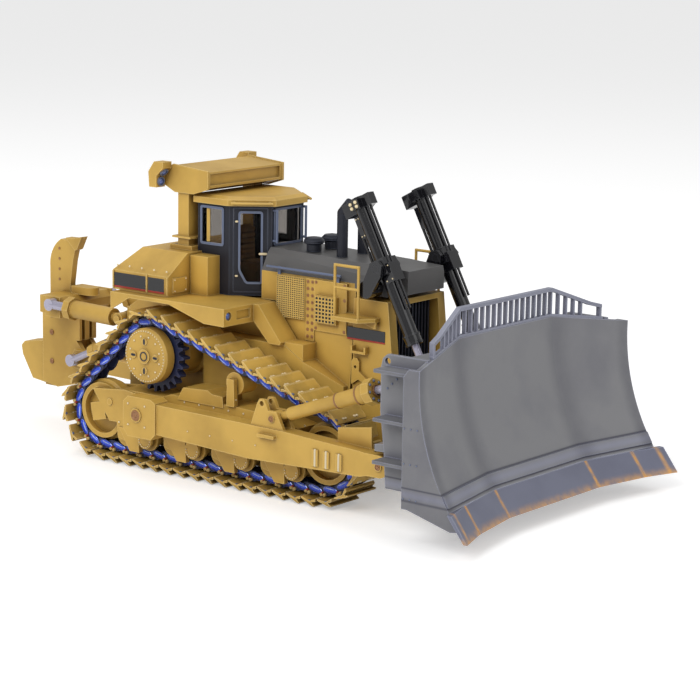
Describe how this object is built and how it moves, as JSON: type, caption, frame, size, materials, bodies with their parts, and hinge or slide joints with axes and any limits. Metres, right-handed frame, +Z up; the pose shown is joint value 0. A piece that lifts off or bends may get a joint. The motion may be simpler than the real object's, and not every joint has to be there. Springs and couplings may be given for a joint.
{
  "type": "crawler bulldozer scale model",
  "caption": "Die-cast scale model of a crawler dozer: tracks over high drive wheels, a semi-U blade that lifts and tips, a cab with roll-over frame and a rear ripper that lifts.",
  "frame": {"origin": "on the ground under the middle of the length and width", "axes": "+X forward, towards the blade; +Y the left side; +Z up"},
  "size_m": [0.2263, 0.1108, 0.0949],
  "materials": {
    "yellow_paint": "satin ochre yellow paint",
    "chain_metal": "bright blued metal",
    "dark_metal": "dark blue-grey paint",
    "blade_grey": "matte grey primer",
    "edge_metal": "bright bluish steel",
    "black_gloss": "gloss black",
    "hood_grey": "matte grey paint",
    "rod_metal": "polished rod",
    "cab_dark": "dark blue-grey paint",
    "glass_clear": "clear pane",
    "seat_brown": "matte brown"
  },
  "bodies": {
    "tractor": {"track_left": "chain_metal", "track_right": "chain_metal", "idlers": "yellow_paint", "sprockets": "dark_metal", "final_drives": "yellow_paint", "rollers": "yellow_paint", "carrier_rollers": "yellow_paint", "track_frame_left": "yellow_paint", "track_frame_right": "yellow_paint", "hull": "yellow_paint", "rear_bracket": "yellow_paint", "radiator_guard": "yellow_paint", "radiator_grille": "dark_metal", "engine_enclosure": "yellow_paint", "hood": "hood_grey", "fenders": "yellow_paint", "rear_tank": "yellow_paint", "side_boxes": "yellow_paint", "cab_shell": "cab_dark", "cab_doors": "cab_dark", "cab_glass": "glass_clear", "cab_roof": "yellow_paint", "cab_seat": "seat_brown", "rollover_frame": "yellow_paint", "lamp_pods": "yellow_paint", "exhaust_stacks": "dark_metal", "air_cleaners": "dark_metal", "lift_mounts": "black_gloss", "service_platforms": "yellow_paint", "handrails": "black_gloss", "hull_steps": "yellow_paint"},
    "push_frame": {"push_arm_left": "yellow_paint", "push_arm_right": "yellow_paint"},
    "dozer_blade": {"blade": "blade_grey", "cutting_edges": "edge_metal", "end_bits": "edge_metal", "spill_guard": "blade_grey"},
    "brace_barrel_left": {"brace_barrel_left": "yellow_paint"},
    "brace_rod_left": {"brace_rod_left": "rod_metal"},
    "lift_barrel_left": {"lift_barrel_left": "black_gloss"},
    "lift_rod_left": {"lift_rod_left": "rod_metal"},
    "ripper_lift_barrel_left": {"ripper_lift_barrel_left": "yellow_paint"},
    "ripper_lift_rod_left": {"ripper_lift_rod_left": "rod_metal"},
    "ripper_tilt_barrel_left": {"ripper_tilt_barrel_left": "yellow_paint"},
    "ripper_tilt_rod_left": {"ripper_tilt_rod_left": "rod_metal"},
    "brace_barrel_right": {"brace_barrel_right": "yellow_paint"},
    "brace_rod_right": {"brace_rod_right": "rod_metal"},
    "lift_barrel_right": {"lift_barrel_right": "black_gloss"},
    "lift_rod_right": {"lift_rod_right": "rod_metal"},
    "ripper_lift_barrel_right": {"ripper_lift_barrel_right": "yellow_paint"},
    "ripper_lift_rod_right": {"ripper_lift_rod_right": "rod_metal"},
    "ripper_tilt_barrel_right": {"ripper_tilt_barrel_right": "yellow_paint"},
    "ripper_tilt_rod_right": {"ripper_tilt_rod_right": "rod_metal"},
    "ripper_linkage": {"ripper_link": "yellow_paint", "ripper_cross_tube": "yellow_paint"},
    "ripper_tool": {"ripper_carrier": "yellow_paint", "ripper_shank": "yellow_paint", "ripper_tip": "yellow_paint"}
  },
  "joints": [
    {"name": "blade_lift", "type": "hinge", "parent": "tractor", "child": "push_frame", "pos_m": [-0.0208, 0, 0.0193], "axis": [0, -1, 0], "range_deg": [-9.4, 11.6]},
    {"name": "blade_pitch", "type": "hinge", "parent": "push_frame", "child": "dozer_blade", "pos_m": [0.073, 0, 0.0184], "axis": [0, -1, 0], "range_deg": [-4, 4]},
    {"name": "ripper_lift", "type": "hinge", "parent": "tractor", "child": "ripper_linkage", "pos_m": [-0.055, 0, 0.022], "axis": [0, 1, 0], "range_deg": [-15, 20]},
    {"name": "ripper_level", "type": "hinge", "parent": "ripper_linkage", "child": "ripper_tool", "pos_m": [-0.083, 0, 0.023], "axis": [0, 1, 0], "range_deg": [-20.5, 15.5]},
    {"name": "lift_barrel_left_swing", "type": "hinge", "parent": "tractor", "child": "lift_barrel_left", "pos_m": [0.0522, 0.0147, 0.0702], "axis": [0, -1, 0], "range_deg": [-8.2, 10.04]},
    {"name": "lift_rod_left_slide", "type": "slide", "parent": "lift_barrel_left", "child": "lift_rod_left", "axis": [0.471, 0, -0.8821], "range_m": [-0.0182, 0.01481]},
    {"name": "brace_barrel_left_swing", "type": "hinge", "parent": "push_frame", "child": "brace_barrel_left", "pos_m": [0.0328, 0.04, 0.0262], "axis": [0, -1, 0], "range_deg": [-1.28, 1.28]},
    {"name": "brace_rod_left_slide", "type": "slide", "parent": "brace_barrel_left", "child": "brace_rod_left", "axis": [0.9388, 0, 0.3445], "range_m": [-0.00178, 0.00178]},
    {"name": "ripper_lift_barrel_left_swing", "type": "hinge", "parent": "tractor", "child": "ripper_lift_barrel_left", "pos_m": [-0.0565, 0.0092, 0.035], "axis": [0, 1, 0], "range_deg": [-13.62, 18.06]},
    {"name": "ripper_lift_rod_left_slide", "type": "slide", "parent": "ripper_lift_barrel_left", "child": "ripper_lift_rod_left", "axis": [-0.911, 0, -0.4125], "range_m": [-0.00469, 0.00359]},
    {"name": "ripper_tilt_barrel_left_swing", "type": "hinge", "parent": "tractor", "child": "ripper_tilt_barrel_left", "pos_m": [-0.0555, 0.0142, 0.0413], "axis": [0, 1, 0], "range_deg": [-13.45, 17.84]},
    {"name": "ripper_tilt_rod_left_slide", "type": "slide", "parent": "ripper_tilt_barrel_left", "child": "ripper_tilt_rod_left", "axis": [-0.9998, 0, 0.0219], "range_m": [-0.000511, 0.000458]},
    {"name": "lift_barrel_right_swing", "type": "hinge", "parent": "tractor", "child": "lift_barrel_right", "pos_m": [0.0522, -0.0147, 0.0702], "axis": [0, -1, 0], "range_deg": [-8.2, 10.04]},
    {"name": "lift_rod_right_slide", "type": "slide", "parent": "lift_barrel_right", "child": "lift_rod_right", "axis": [0.471, 0, -0.8821], "range_m": [-0.0182, 0.01481]},
    {"name": "brace_barrel_right_swing", "type": "hinge", "parent": "push_frame", "child": "brace_barrel_right", "pos_m": [0.0328, -0.04, 0.0262], "axis": [0, -1, 0], "range_deg": [-1.28, 1.28]},
    {"name": "brace_rod_right_slide", "type": "slide", "parent": "brace_barrel_right", "child": "brace_rod_right", "axis": [0.9388, 0, 0.3445], "range_m": [-0.00178, 0.00178]},
    {"name": "ripper_lift_barrel_right_swing", "type": "hinge", "parent": "tractor", "child": "ripper_lift_barrel_right", "pos_m": [-0.0565, -0.0092, 0.035], "axis": [0, 1, 0], "range_deg": [-13.62, 18.06]},
    {"name": "ripper_lift_rod_right_slide", "type": "slide", "parent": "ripper_lift_barrel_right", "child": "ripper_lift_rod_right", "axis": [-0.911, 0, -0.4125], "range_m": [-0.00469, 0.00359]},
    {"name": "ripper_tilt_barrel_right_swing", "type": "hinge", "parent": "tractor", "child": "ripper_tilt_barrel_right", "pos_m": [-0.0555, -0.0142, 0.0413], "axis": [0, 1, 0], "range_deg": [-13.45, 17.84]},
    {"name": "ripper_tilt_rod_right_slide", "type": "slide", "parent": "ripper_tilt_barrel_right", "child": "ripper_tilt_rod_right", "axis": [-0.9998, 0, 0.0219], "range_m": [-0.000511, 0.000458]}
  ],
  "couplings": [
    {"joint": "ripper_level", "follows": "ripper_lift", "ratio": -1},
    {"joint": "lift_barrel_left_swing", "follows": "blade_lift", "ratio": 0.84},
    {"joint": "lift_rod_left_slide", "follows": "blade_lift", "m_per_rad": -0.088415},
    {"joint": "brace_barrel_left_swing", "follows": "blade_pitch", "ratio": 0.2451},
    {"joint": "brace_rod_left_slide", "follows": "blade_pitch", "m_per_rad": -0.021167},
    {"joint": "ripper_lift_barrel_left_swing", "follows": "ripper_lift", "ratio": 0.8881},
    {"joint": "ripper_lift_rod_left_slide", "follows": "ripper_lift", "m_per_rad": -0.012583},
    {"joint": "ripper_tilt_barrel_left_swing", "follows": "ripper_lift", "ratio": 0.8768},
    {"joint": "ripper_tilt_rod_left_slide", "follows": "ripper_lift", "m_per_rad": -0.000604},
    {"joint": "lift_barrel_right_swing", "follows": "blade_lift", "ratio": 0.84},
    {"joint": "lift_rod_right_slide", "follows": "blade_lift", "m_per_rad": -0.088415},
    {"joint": "brace_barrel_right_swing", "follows": "blade_pitch", "ratio": 0.2451},
    {"joint": "brace_rod_right_slide", "follows": "blade_pitch", "m_per_rad": -0.021167},
    {"joint": "ripper_lift_barrel_right_swing", "follows": "ripper_lift", "ratio": 0.8881},
    {"joint": "ripper_lift_rod_right_slide", "follows": "ripper_lift", "m_per_rad": -0.012583},
    {"joint": "ripper_tilt_barrel_right_swing", "follows": "ripper_lift", "ratio": 0.8768},
    {"joint": "ripper_tilt_rod_right_slide", "follows": "ripper_lift", "m_per_rad": -0.000604}
  ]
}
